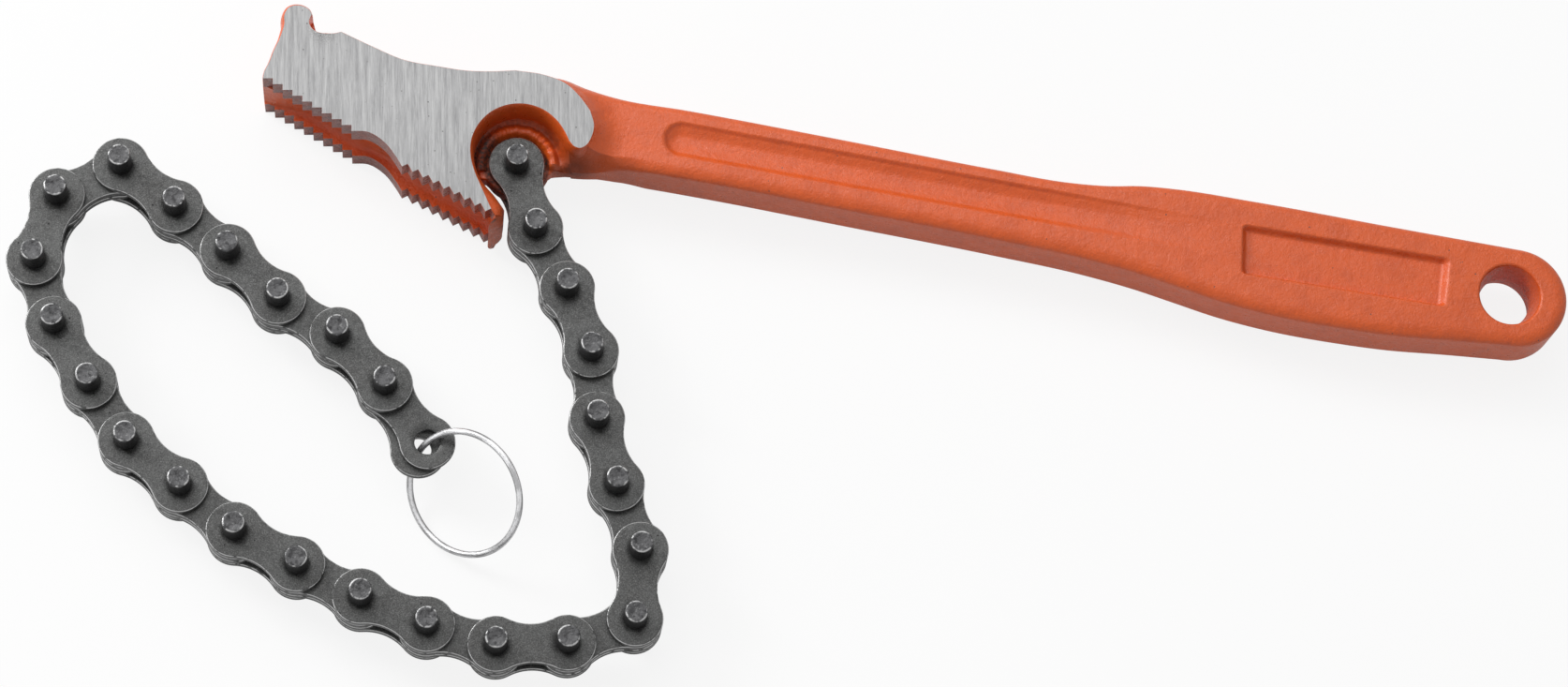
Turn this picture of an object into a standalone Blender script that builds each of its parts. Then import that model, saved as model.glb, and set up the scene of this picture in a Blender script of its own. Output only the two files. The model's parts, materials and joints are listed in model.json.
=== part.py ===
# Chain wrench: a forged handle and toothed head in one piece, a plate chain hinged on an
# anchor pin in the head's pocket, and a wire ring on the last link.
# Metres, +Z up. The tool lies flat, every chain pin is upright, and the point under the
# middle of its bounding box is the origin. The sizes below are given in a plan whose
# own zero is the anchor pin's axis, with X along the handle and Y towards the hook.

import math

import bmesh
import bpy
from mathutils import Vector

mm = 0.001

# Head
head_thickness = 22.0 * mm
jaw_reach = 59.8 * mm  # anchor axis to the far corner of the teeth
jaw_drop = 15.9 * mm  # anchor axis down to the low end of the teeth
tail_radius = 20.0 * mm  # outside of the round tail, about the anchor axis
pocket_radius = 11.2 * mm
slot_width = 11.0 * mm  # groove between the tooth rows and fork between the hooks
groove_depth = 4.2 * mm
tooth_count = 9
tooth_depth = 1.2 * mm

# Web that carries the anchor pin, between the outer plates of the first link
lobe_radius = 7.3 * mm

# Handle
handle_reach = 243.0 * mm  # anchor axis to the handle's end
handle_offset = 11.1 * mm  # centreline above the anchor axis
handle_thickness = 14.0 * mm
handle_edge = 1.4 * mm  # rounding of the long edges
shank_half = 8.5 * mm
grip_half = 11.7 * mm
hang_hole_radius = 6.5 * mm
hang_hole_inset = 13.5 * mm  # from the handle's end to the hole's centre
countersink = 0.9 * mm
flute_half = 4.1 * mm
flute_depth = 1.6 * mm
panel_length = 49.0 * mm
panel_half = 6.3 * mm
panel_depth = 0.7 * mm
panel_corner = 2.0 * mm
panel_to_hole = 15.0 * mm  # end of the panel to the hole's centre

# Chain
pitch = 15.875 * mm
plate_thickness = 1.8 * mm
plate_end_radius = 6.3 * mm
plate_waist_half = 4.4 * mm
plate_gap = 0.2 * mm  # between neighbouring plates that swing past each other
inner_gap = 0.8 * mm  # between the two plates of an inner link
pin_radius = 2.5 * mm
pin_inset = 0.2 * mm  # pin ends lie this far inside the head's faces
running_fit = 0.06 * mm  # between a pin and the flats of its hole
ring_hole_radius = 2.9 * mm

# Ring
ring_radius = 14.2 * mm  # to the middle of the wire
wire_radius = 0.75 * mm

# How the chain lies: heading of the first link and the turn at each pin after it, degrees
first_heading = -64.0
turns = [
    11.0, -7.0, -15.0, 11.0, 3.5, -24.0, -65.0, -19.0, -17.5, -7.0, -4.0, -2.0, -10.5,
    -1.0, -16.0, -2.5, -13.0, -34.5, -45.5, -66.0, -2.5, -3.0, 11.5, -15.5, -9.25,
]
end_splay = 4.25  # each plate of the last link turns this far off the link's line
ring_heading = 8.1  # ring against the last link's line
ring_roll = 42.9

# Facets
end_steps = 9
waist_steps = 3
hole_sides = 12
pin_sides = 12
arc_steps = 20
overrun = 2.0 * mm  # cutters run this far past what they cut

# Heights that follow from the sizes above
middle = head_thickness / 2
inner_low = middle - inner_gap / 2 - plate_thickness
inner_high = middle + inner_gap / 2
outer_low = inner_low - plate_gap - plate_thickness
outer_high = inner_high + plate_thickness + plate_gap
web_thickness = 2 * plate_thickness + inner_gap
hole_radius = (pin_radius + running_fit) / math.cos(math.pi / hole_sides)
handle_low = middle - handle_thickness / 2
handle_high = middle + handle_thickness / 2
hang_hole_x = handle_reach - hang_hole_inset

# Head outline as shares: X of the jaw's reach; Y of the tail's radius above the anchor
# axis and of the jaw's drop below it
far_corner_share = (-1.0, 0.335)
row_one_end_share = (-0.632, -0.12)
relief_shares = [(-0.6, -0.075), (-0.572, -0.085), (-0.53, -0.14), (-0.49, -0.23), (-0.45, -0.36)]
row_two_start_share = (-0.418, -0.51)
row_two_end_share = (-0.035, -1.0)
low_end_shares = [(-0.008, -0.955), (-0.06, -0.85)]
back_shares = [
    (-0.07, 0.985), (-0.16, 0.92), (-0.252, 0.875), (-0.354, 0.865), (-0.498, 0.87),
    (-0.615, 0.955), (-0.746, 1.065),
]
notch_shares = [(-0.8, 1.015), (-0.833, 1.01), (-0.863, 1.06), (-0.873, 1.115), (-0.868, 1.21)]
nub_shares = [(-0.88, 1.265), (-0.928, 1.3), (-0.96, 1.22), (-0.971, 1.14)]
jaw_end_shares = [(-0.966, 0.935), (-0.976, 0.74), (-0.99, 0.53)]
row_one_root_share = 0.71
row_two_root_share = 0.3

# Tail as (angle about the anchor axis in degrees, share of the tail's radius)
tail_tip_shares = [(16.3, 0.715), (21.0, 0.83), (27.5, 0.91), (36.0, 0.965)]
tail_arc = (44.0, 95.0)

# Pocket: its centre as shares of its radius, and its arc in degrees
pocket_centre_share = (0.025, 0.08)
pocket_arc = (232.0, 22.0)

# Web as (angle, share of the lobe's radius); it runs on inside the pocket's wall
web_shares = [(14.0, 1.75), (7.0, 1.38), (354.0, 1.04)]
web_left_shares = [(222.0, 1.0), (208.0, 1.24), (201.0, 1.75)]
web_lobe_arc = (340.0, 232.0)
web_wall_arc = (190.0, 25.0)
web_wall_share = 1.75  # how far the web runs on into the head, of the lobe's radius

# Fork between the hooks: its floor as head shares
fork_floor_shares = [(-1.1, 0.62), (-0.9, 0.71), (-0.8, 0.8), (-0.7, 0.89), (-0.6, 1.05)]
fork_outside_shares = [(-0.6, 1.6), (-1.1, 1.6)]

# Groove: how far along the jaw its floor takes to reach its depth, as shares of the reach,
# and its depth under the relief and its reach outside the teeth, as shares of the depth
groove_run_share = (0.06, 0.16)
groove_relief_share = 1.2
groove_outside_share = 3.0

# Flute: the path of the rod that cuts it, as (share of the handle's reach, lift as a share
# of the flute's depth)
flute_shares = [(0.13, 1.6), (0.136, 0.9), (0.15, 0.2), (0.17, 0.0), (0.5, 0.0), (0.58, 0.4), (0.68, 1.6)]
handle_end_arc = (-80.0, 90.0)

# Handle edges as (share of the reach, share of the way from shank width to grip width)
top_edge_shares = [
    (0.83, 1.0), (0.69, 1.0), (0.62, 0.84), (0.575, 0.42), (0.535, 0.05), (0.45, -0.18),
    (0.3, 0.0), (0.15, 0.0), (0.083, -0.1), (0.05, 0.25), (0.027, 0.5),
]
low_edge_shares = [
    (0.048, 0.0), (0.1, -0.1), (0.17, 0.1), (0.45, 0.1), (0.545, 0.4), (0.63, 1.2),
    (0.715, 2.0), (0.8, 1.95), (0.88, 1.45), (0.935, 1.05),
]
# Its root inside the tail, as (angle about the anchor axis, share of the tail's radius)
handle_root_shares = [(97.0, 0.97), (82.0, 0.75), (62.0, 0.7), (42.0, 0.68), (22.0, 0.66)]


def head_point(share):
    """A point of the head from its shares."""
    x, y = share
    return Vector((x * jaw_reach, y * (tail_radius if y > 0 else jaw_drop)))


def polar(angle, radius, centre=(0, 0)):
    """A point at an angle in degrees and a radius about a centre."""
    turn = math.radians(angle)
    return Vector((centre[0] + radius * math.cos(turn), centre[1] + radius * math.sin(turn)))


def arc(start, end, steps, radius, centre=(0, 0)):
    """Points of an arc from one angle to another, ends included."""
    return [polar(start + (end - start) * i / steps, radius, centre) for i in range(steps + 1)]


def tooth_row(start, end, root_share):
    """Crests and roots of one row of teeth, without its last crest."""
    step = (end - start) / tooth_count
    inward = Vector((-step.y, step.x)).normalized() * tooth_depth
    points = []
    for i in range(tooth_count):
        crest = start + step * i
        points += [crest, crest + step * root_share + inward]
    return points


def head_outline():
    """The head's ground face: teeth, low end, pocket, tail, back, notch and hook."""
    row_two_end = head_point(row_two_end_share)
    centre = Vector(pocket_centre_share) * pocket_radius
    points = tooth_row(head_point(far_corner_share), head_point(row_one_end_share), row_one_root_share)
    points += [head_point(row_one_end_share)]
    points += [head_point(share) for share in relief_shares]
    points += tooth_row(head_point(row_two_start_share), row_two_end, row_two_root_share)
    points += [row_two_end] + [head_point(share) for share in low_end_shares]
    points += arc(*pocket_arc, arc_steps, pocket_radius, centre)
    points += [polar(angle, share * tail_radius) for angle, share in tail_tip_shares]
    points += arc(*tail_arc, arc_steps // 3, tail_radius)
    for group in (back_shares, notch_shares, nub_shares, jaw_end_shares):
        points += [head_point(share) for share in group]
    return points


def handle_outline():
    """The handle from its root in the tail to its round end."""
    def edge(share, side):
        x, widening = share
        half = shank_half + (grip_half - shank_half) * widening
        return Vector((x * handle_reach, handle_offset + side * half))

    points = [polar(angle, share * tail_radius) for angle, share in handle_root_shares]
    points += [edge(share, -1) for share in low_edge_shares]
    end_centre = (handle_reach - grip_half, handle_offset)
    points += arc(*handle_end_arc, arc_steps // 2, grip_half, end_centre)
    points += [edge(share, 1) for share in top_edge_shares]
    return points


def web_outline():
    """The web inside the pocket, with its free round lobe about the anchor pin."""
    points = [polar(angle, share * lobe_radius) for angle, share in web_shares]
    points += arc(*web_lobe_arc, arc_steps // 2, lobe_radius)
    points += [polar(angle, share * lobe_radius) for angle, share in web_left_shares]
    points += arc(*web_wall_arc, arc_steps // 2, web_wall_share * lobe_radius)
    return points


def groove_outline():
    """Plan of the groove: its floor runs a groove's depth inside both rows of teeth."""
    run_in, run_out = groove_run_share
    corner = head_point(far_corner_share)
    first_end = head_point(row_one_end_share)
    second_start = head_point(row_two_start_share)
    low_end = head_point(row_two_end_share)
    inward = Vector((-(low_end - corner).y, (low_end - corner).x)).normalized() * groove_depth
    along = (low_end - corner).normalized() * jaw_reach
    floor = [
        corner - along * run_in,
        corner + along * run_in + inward / 2,
        corner + along * run_out + inward,
        first_end + inward,
        (first_end + second_start) / 2 + inward * groove_relief_share,
        second_start + inward,
        low_end + inward - along * run_in,
        low_end + inward / 2,
        low_end + along * run_out,
    ]
    outside = [point - inward * groove_outside_share for point in (floor[-1], floor[0])]
    return floor + outside


def fork_outline():
    """Plan of the fork that lets the chain's plates pass between the two hooks."""
    return [head_point(share) for share in fork_floor_shares + fork_outside_shares]


def panel_outline():
    """Plan of the bare panel: a rectangle with round corners."""
    right = hang_hole_x - panel_to_hole
    left = right - panel_length
    low, high = handle_offset - panel_half, handle_offset + panel_half
    inset = panel_corner
    corners = [
        (right - inset, low + inset, -90.0), (right - inset, high - inset, 0.0),
        (left + inset, high - inset, 90.0), (left + inset, low + inset, 180.0),
    ]
    points = []
    for x, y, start in corners:
        points += arc(start, start + 90.0, 3, panel_corner, (x, y))
    return points


def plate_outline():
    """A figure of eight round two holes, one at zero and one a pitch along X."""
    half_pitch = pitch / 2
    fall = plate_end_radius - plate_waist_half
    blend = (half_pitch ** 2 + plate_waist_half ** 2 - plate_end_radius ** 2) / (2 * fall)
    rise = plate_waist_half + blend
    meet = math.degrees(math.atan2(rise, half_pitch))
    points = arc(meet, 360.0 - meet, end_steps, plate_end_radius)
    points += arc(180.0 - meet, meet, waist_steps, blend, (half_pitch, -rise))[1:-1]
    points += arc(meet - 180.0, 180.0 - meet, end_steps, plate_end_radius, (pitch, 0))
    points += arc(-meet, meet - 180.0, waist_steps, blend, (half_pitch, rise))[1:-1]
    return points


def new_collection(name):
    collection = bpy.data.collections.new(name)
    bpy.context.scene.collection.children.link(collection)
    return collection


def new_material(name, colour, roughness, metallic):
    material = bpy.data.materials.new(name)
    material.use_nodes = True
    shader = material.node_tree.nodes["Principled BSDF"]
    shader.inputs["Base Color"].default_value = (*colour, 1.0)
    shader.inputs["Roughness"].default_value = roughness
    shader.inputs["Metallic"].default_value = metallic
    return material


def mesh_from(obj, name):
    """The evaluated mesh of an object in its own space, welded; the object is removed."""
    bpy.context.view_layer.update()
    graph = bpy.context.evaluated_depsgraph_get()
    mesh = bpy.data.meshes.new_from_object(obj.evaluated_get(graph))
    mesh.name = name
    shape = bmesh.new()
    shape.from_mesh(mesh)
    bmesh.ops.remove_doubles(shape, verts=shape.verts, dist=mm / 1000)
    bmesh.ops.recalc_face_normals(shape, faces=shape.faces)
    shape.to_mesh(mesh)
    shape.free()
    bpy.data.objects.remove(obj)
    return mesh


def flat_mesh(name, outline, low, high, holes=(), edge=0.0):
    """A flat outline with round holes, as a plate from one height to another, edges rounded."""
    curve = bpy.data.curves.new(name, "CURVE")
    curve.dimensions = "2D"
    curve.fill_mode = "BOTH"
    curve.extrude = (high - low) / 2 - edge
    curve.bevel_depth = edge
    curve.bevel_resolution = 1
    curve.offset = -edge
    for points in (outline, *holes):
        spline = curve.splines.new("POLY")
        spline.points.add(len(points) - 1)
        for place, point in zip(spline.points, points):
            place.co = (point[0], point[1], 0, 1)
        spline.use_cyclic_u = True
    guide = bpy.data.objects.new(name, curve)
    cutters.objects.link(guide)
    mesh = mesh_from(guide, name)
    for vertex in mesh.vertices:
        vertex.co.z += (low + high) / 2
    return mesh


def turned_mesh(name, profile, sides):
    """A profile of radius and height pairs, top to bottom, turned about Z."""
    mesh = bpy.data.meshes.new(name)
    mesh.from_pydata([(r, 0, z) for r, z in profile], [(i, i + 1) for i in range(len(profile) - 1)], [])
    guide = bpy.data.objects.new(name, mesh)
    cutters.objects.link(guide)
    screw = guide.modifiers.new("turn", "SCREW")
    screw.steps = screw.render_steps = sides
    screw.use_merge_vertices = True
    screw.merge_threshold = mm / 1000
    return mesh_from(guide, name)


def add_cutter(name, mesh, location=(0, 0, 0)):
    cutter = bpy.data.objects.new(name, mesh)
    cutter.location = location
    cutter.hide_render = True
    cutter.display_type = "WIRE"
    cutters.objects.link(cutter)
    return cutter


def add_part(name, mesh, material, parent, location=(0, 0, 0), turn=0.0):
    part = bpy.data.objects.new(name, mesh)
    part.parent = parent
    part.location = location
    part.rotation_euler.z = math.radians(turn)
    parts.objects.link(part)
    if not mesh.materials:
        mesh.materials.append(material)
    return part


def add_frame(name, parent, location=(0, 0, 0), turn=0.0, roll=0.0):
    """An empty that carries pieces; a roll tips it about its own X."""
    frame = bpy.data.objects.new(name, None)
    frame.parent = parent
    frame.location = location
    frame.rotation_euler = (math.radians(roll), 0, math.radians(turn))
    frame.empty_display_size = pitch / 2
    parts.objects.link(frame)
    return frame


def boolean(target, tool, operation):
    change = target.modifiers.new(tool.name, "BOOLEAN")
    change.operation = operation
    change.object = tool
    change.solver = "EXACT"


def flute_cutter(side):
    """A rod laid along the handle whose lower side cuts the flute; it lifts out at both ends."""
    radius = (flute_half ** 2 + flute_depth ** 2) / (2 * flute_depth)
    face = middle + side * handle_thickness / 2
    sunk = radius - flute_depth
    curve = bpy.data.curves.new("flute_path", "CURVE")
    curve.dimensions = "3D"
    curve.bevel_depth = radius
    curve.bevel_resolution = 4
    curve.use_fill_caps = True
    spline = curve.splines.new("POLY")
    spline.points.add(len(flute_shares) - 1)
    for place, (along_share, lift_share) in zip(spline.points, flute_shares):
        height = face + side * (sunk + lift_share * flute_depth)
        place.co = (along_share * handle_reach, handle_offset, height, 1)
    guide = bpy.data.objects.new("flute_path", curve)
    cutters.objects.link(guide)
    return mesh_from(guide, "flute_path")


def build_body(frame):
    """Head, handle and web joined, with groove, fork, holes, flutes and panels cut."""
    half_slot = slot_width / 2
    body = add_part("wrench_body", flat_mesh("head", head_outline(), 0, head_thickness), paint, frame)

    handle = add_cutter("handle", flat_mesh(
        "handle", handle_outline(), handle_low, handle_high, edge=handle_edge))
    boolean(body, handle, "UNION")

    web = add_cutter("web", flat_mesh(
        "web", web_outline(), middle - web_thickness / 2, middle + web_thickness / 2))
    boolean(body, web, "UNION")

    for name, outline in (("groove", groove_outline()), ("fork", fork_outline())):
        tool = add_cutter(name, flat_mesh(name, outline, middle - half_slot, middle + half_slot))
        boolean(body, tool, "DIFFERENCE")

    anchor_profile = [
        (0, web_thickness / 2 + overrun), (hole_radius, web_thickness / 2 + overrun),
        (hole_radius, -web_thickness / 2 - overrun), (0, -web_thickness / 2 - overrun),
    ]
    anchor = add_cutter("anchor_hole", turned_mesh("anchor_hole", anchor_profile, hole_sides))
    anchor.location.z = middle
    boolean(body, anchor, "DIFFERENCE")

    half = handle_thickness / 2
    flare = hang_hole_radius + countersink
    hang_profile = [
        (0, half + overrun), (flare + overrun, half + overrun), (flare, half),
        (hang_hole_radius, half - countersink), (hang_hole_radius, countersink - half),
        (flare, -half), (flare + overrun, -half - overrun), (0, -half - overrun),
    ]
    hang = add_cutter("hang_hole", turned_mesh("hang_hole", hang_profile, arc_steps))
    hang.location = (hang_hole_x, handle_offset, middle)
    boolean(body, hang, "DIFFERENCE")

    for side, face in ((-1, handle_low), (1, handle_high)):
        low, high = sorted((face - side * panel_depth, face + side * overrun))
        panel = add_cutter("panel", flat_mesh("panel", panel_outline(), low, high))
        flute = add_cutter("flute", flute_cutter(side))
        boolean(body, panel, "DIFFERENCE")
        boolean(body, flute, "DIFFERENCE")
    for tool in cutters.objects:
        tool.parent = frame


def pin_plate_mesh():
    """The outer link's upper plate with the two pins riveted through it."""
    plate = add_cutter("pin_plate", flat_mesh(
        "pin_plate", plate_outline(), outer_high, outer_high + plate_thickness))
    profile = [
        (0, head_thickness - pin_inset), (pin_radius, head_thickness - pin_inset),
        (pin_radius, pin_inset), (0, pin_inset),
    ]
    pin_mesh = turned_mesh("pin", profile, pin_sides)
    pins = [add_cutter("pin", pin_mesh, (x, 0, 0)) for x in (0, pitch)]
    for pin in pins:
        boolean(plate, pin, "UNION")
    mesh = mesh_from(plate, "pin_plate")
    for pin in pins:
        bpy.data.objects.remove(pin)
    return mesh


def holed_plate_mesh(name, low, far_hole_radius):
    """A plate with a pin's hole at zero and a hole a pitch along X."""
    spin = 180.0 / hole_sides
    near = arc(spin, spin + 360.0, hole_sides, hole_radius)[:-1]
    far = arc(spin, spin + 360.0, hole_sides, far_hole_radius, (pitch, 0))[:-1]
    return flat_mesh(name, plate_outline(), low, low + plate_thickness, (near, far))


def build_chain(frame):
    """Twenty-five links in turn, each carried by the one before; returns the last frame."""
    pin_plate = pin_plate_mesh()
    outer_lower = holed_plate_mesh("outer_lower", outer_low, hole_radius)
    inner_upper = holed_plate_mesh("inner_upper", inner_high, hole_radius)
    inner_lower = holed_plate_mesh("inner_lower", inner_low, hole_radius)
    carrier, reach, turn = frame, 0, first_heading
    for number, next_turn in enumerate(turns, start=1):
        carrier = add_frame(f"link_{number:02d}_joint", carrier, (reach, 0, 0), turn)
        if number % 2:
            add_part(f"link_{number:02d}_pin_plate", pin_plate, chain_steel, carrier)
            add_part(f"link_{number:02d}_lower_plate", outer_lower, chain_steel, carrier)
        else:
            add_part(f"link_{number:02d}_upper_plate", inner_upper, chain_steel, carrier)
            add_part(f"link_{number:02d}_lower_plate", inner_lower, chain_steel, carrier)
        reach, turn = pitch, next_turn
    return add_frame(f"link_{len(turns) + 1:02d}_joint", carrier, (pitch, 0, 0), turn)


def build_end(last):
    """The last link, its two plates pushed together and fanned, and the ring through them."""
    number = len(turns) + 1
    high = inner_low + plate_thickness + plate_gap
    upper = holed_plate_mesh("end_upper", high, ring_hole_radius)
    lower = holed_plate_mesh("end_lower", inner_low, ring_hole_radius)
    add_part(f"link_{number:02d}_upper_plate", upper, chain_steel, last, turn=end_splay)
    add_part(f"link_{number:02d}_lower_plate", lower, chain_steel, last, turn=-end_splay)

    reach = pitch * math.cos(math.radians(end_splay))
    height = inner_low + plate_thickness + plate_gap / 2
    swing = add_frame("ring_joint", last, (reach, 0, height), ring_heading, ring_roll)
    bpy.ops.mesh.primitive_torus_add(
        major_segments=32, minor_segments=8, major_radius=ring_radius, minor_radius=wire_radius)
    ring = bpy.context.object
    ring.name = "end_ring"
    ring.parent = swing
    ring.location = (ring_radius, 0, 0)
    ring.data.materials.append(ring_wire)
    for collection in ring.users_collection:
        collection.objects.unlink(ring)
    parts.objects.link(ring)


def centre_on_floor(frame):
    """Moves the whole so that the middle of its box is over the origin and it stands on zero."""
    bpy.context.view_layer.update()
    graph = bpy.context.evaluated_depsgraph_get()
    corners = []
    for part in parts.objects:
        if part.type == "MESH":
            shown = part.evaluated_get(graph)
            corners += [shown.matrix_world @ vertex.co for vertex in shown.data.vertices]
    low = [min(corner[i] for corner in corners) for i in range(3)]
    high = [max(corner[i] for corner in corners) for i in range(3)]
    frame.location = (-(low[0] + high[0]) / 2, -(low[1] + high[1]) / 2, -low[2])


def shade(part):
    part.data.shade_smooth()
    part.data.set_sharp_from_angle(angle=math.radians(35.0))


for old in list(bpy.data.objects):
    bpy.data.objects.remove(old)
parts = new_collection("chain_wrench")
cutters = new_collection("cutters")
paint = new_material("orange_paint", (0.66, 0.13, 0.05), 0.4, 0.0)
chain_steel = new_material("dark_chain_steel", (0.09, 0.095, 0.09), 0.45, 0.8)
ring_wire = new_material("zinc_wire", (0.6, 0.6, 0.58), 0.3, 1.0)

tool_frame = add_frame("tool_frame", None)
build_body(tool_frame)
build_end(build_chain(tool_frame))
for part in parts.objects:
    if part.type == "MESH":
        shade(part)
centre_on_floor(tool_frame)
bpy.context.view_layer.update()
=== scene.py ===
import math

import bpy
import numpy as np
from mathutils import Matrix, Vector
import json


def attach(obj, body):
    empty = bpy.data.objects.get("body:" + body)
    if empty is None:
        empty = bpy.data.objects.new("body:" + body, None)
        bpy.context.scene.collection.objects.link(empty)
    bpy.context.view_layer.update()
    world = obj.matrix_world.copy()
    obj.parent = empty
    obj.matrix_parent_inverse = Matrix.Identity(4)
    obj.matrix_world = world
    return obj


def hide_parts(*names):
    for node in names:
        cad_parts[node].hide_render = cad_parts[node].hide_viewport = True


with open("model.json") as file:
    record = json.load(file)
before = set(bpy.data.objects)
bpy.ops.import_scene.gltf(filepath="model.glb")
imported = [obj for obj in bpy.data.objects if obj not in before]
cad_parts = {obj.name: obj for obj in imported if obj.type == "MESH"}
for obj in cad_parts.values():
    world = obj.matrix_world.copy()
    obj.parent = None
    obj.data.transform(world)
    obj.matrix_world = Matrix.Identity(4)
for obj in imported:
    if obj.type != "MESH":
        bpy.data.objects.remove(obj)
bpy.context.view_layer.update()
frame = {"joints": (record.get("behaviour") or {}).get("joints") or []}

# Plan sizes below are in millimetres about the anchor pin, X along the handle, Y towards the hook.
mm = 0.001
joints = {joint["name"]: joint for joint in frame["joints"]}
anchor = np.array(joints["pin_01_hinge"]["pos_m"]) * (1, 1, 0)
middle = 11.0


# Small helpers


def ease(value, low, high):
    # smoothstep: 3t^2 - 2t^3 of the share of the way from low to high
    t = np.clip((value - low) / (high - low), 0, 1)
    return t * t * (3 - 2 * t)


def runAlong(points):
    # distance along a line up to each of its points
    return np.concatenate([[0], np.cumsum(np.linalg.norm(np.diff(points, axis=0), axis=1))])


def smoothLine(points, step):
    # Hermite curve through the points, each tangent the slope between its neighbours; last point left off
    points = np.array(points, float)
    along = runAlong(points)
    slope = np.gradient(points, along, axis=0)
    places = np.linspace(0, along[-1], max(2, round(along[-1] / step)) + 1)[:-1]
    k = np.clip(np.searchsorted(along, places, side="right") - 1, 0, len(points) - 2)
    run = (along[k + 1] - along[k])[:, None]
    t = ((places - along[k])[:, None]) / run
    return ((2 * t**3 - 3 * t**2 + 1) * points[k] + (t**3 - 2 * t**2 + t) * run * slope[k]
            + (3 * t**2 - 2 * t**3) * points[k + 1] + (t**3 - t**2) * run * slope[k + 1])


def straightLine(points, steps):
    # every straight stretch cut into equal steps; last point left off
    points = np.array(points, float)
    share = np.arange(steps)[:, None] / steps
    return (points[:-1, None] * (1 - share) + points[1:, None] * share).reshape(-1, points.shape[1])


def gridFaces(rows, columns, closeRows=False, closeColumns=False):
    # quads between neighbouring rows and columns of a grid, numbered row by row
    index = np.arange(rows * columns).reshape(rows, columns)
    index = np.pad(index, ((0, int(closeRows)), (0, int(closeColumns))), mode="wrap")
    corners = [index[:-1, :-1], index[1:, :-1], index[1:, 1:], index[:-1, 1:]]
    return np.stack(corners, axis=-1).reshape(-1, 4)


def turned(profile, sides):
    # profile of radius and height, top to bottom, turned about Z; its two ends close on the axis
    profile, ring = np.array(profile, float), np.arange(sides)
    angle = ring * 2 * np.pi / sides
    radius, height = profile[1:-1, :1], profile[1:-1, 1:]
    points = np.stack([radius * np.cos(angle), radius * np.sin(angle), height + 0 * angle], axis=-1)
    points = points.reshape(-1, 3)
    faces = gridFaces(len(profile) - 2, sides, closeColumns=True)
    count = len(points)
    last = count - sides + ring
    top = np.column_stack([np.full(sides, count), ring, np.roll(ring, -1)])
    bottom = np.column_stack([np.full(sides, count + 1), np.roll(last, -1), last])
    points = np.vstack([points, [0, 0, profile[0, 1]], [0, 0, profile[-1, 1]]])
    return points, faces.tolist() + top.tolist() + bottom.tolist()


def addObject(name, data):
    piece = bpy.data.objects.new(name, data)
    bpy.context.scene.collection.objects.link(piece)
    return piece


def showMesh(name, mesh, sharp=40.0):
    # smooth but for edges that bend by more than the sharp angle
    mesh.update()
    mesh.shade_smooth()
    mesh.set_sharp_from_angle(angle=math.radians(sharp))
    return addObject(name, mesh)


def addMesh(name, points, faces, materials, slots=None, sharp=40.0, marks=None):
    # points in metres of the frame; marks are named values, one a point
    mesh = bpy.data.meshes.new(name)
    mesh.from_pydata(points, [], faces)
    for material in materials:
        mesh.materials.append(material)
    if slots is not None:
        mesh.polygons.foreach_set("material_index", slots)
    for mark, values in (marks or {}).items():
        attribute = mesh.attributes.new(mark, "FLOAT", "POINT")
        attribute.data.foreach_set("value", np.asarray(values, np.float32))
    return showMesh(name, mesh, sharp)


def toFrame(points):
    # plan millimetres to metres of the frame
    return np.asarray(points) * mm + anchor


# Materials


def feed(tree, target, value):
    # the value is another node's output, a number, a place or a colour
    if isinstance(value, bpy.types.NodeSocket):
        tree.links.new(value, target)
    else:
        target.default_value = (*value, 1) if target.type == "RGBA" else value


def addNode(tree, kind, feeds=None, **settings):
    node = tree.nodes.new(kind)
    for key, value in settings.items():
        setattr(node, key, value)
    for key, value in (feeds or {}).items():
        feed(tree, node.inputs[key], value)
    return node


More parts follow.
